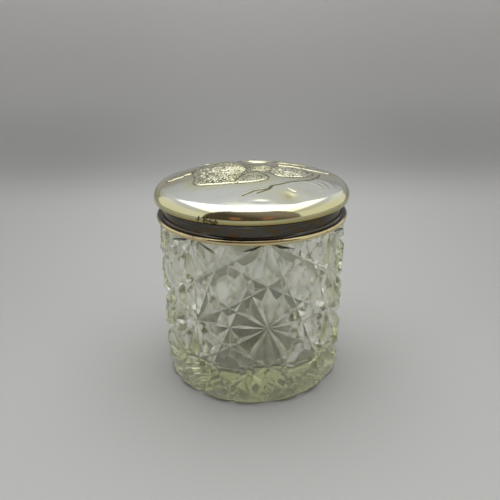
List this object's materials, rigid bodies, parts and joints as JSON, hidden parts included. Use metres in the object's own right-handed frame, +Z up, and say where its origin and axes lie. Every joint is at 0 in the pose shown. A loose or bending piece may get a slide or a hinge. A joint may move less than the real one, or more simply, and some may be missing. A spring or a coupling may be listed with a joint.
{
  "type": "powder jar",
  "caption": "Round cut-glass powder jar with a lift-off domed metal lid embossed with petals, leaves and stems.",
  "frame": {"origin": "centre of the jar's flat underside", "axes": "+Z up along the jar's axis, -Y towards the viewer, +X to the viewer's right"},
  "size_m": [0.0818, 0.0818, 0.0902],
  "materials": {
    "cut_glass": "clear thick glass, cut all over, faint yellow-green tint",
    "tarnished_silver": "polished silver with yellow-olive tarnish towards the edge",
    "oxidised_silver": "smooth silver, blackened by oxidation",
    "gilt_wire": "worn, gold-toned round wire"
  },
  "bodies": {
    "jar": {"glass_jar": "cut_glass"},
    "lid": {"lid_cover": "tarnished_silver", "lid_band": "oxidised_silver", "lid_rim_wire": "gilt_wire"}
  },
  "joints": [
    {"name": "lid_lift", "type": "slide", "parent": "jar", "child": "lid", "axis": [0, 0, 1], "range_m": [0, 0.04]}
  ]
}
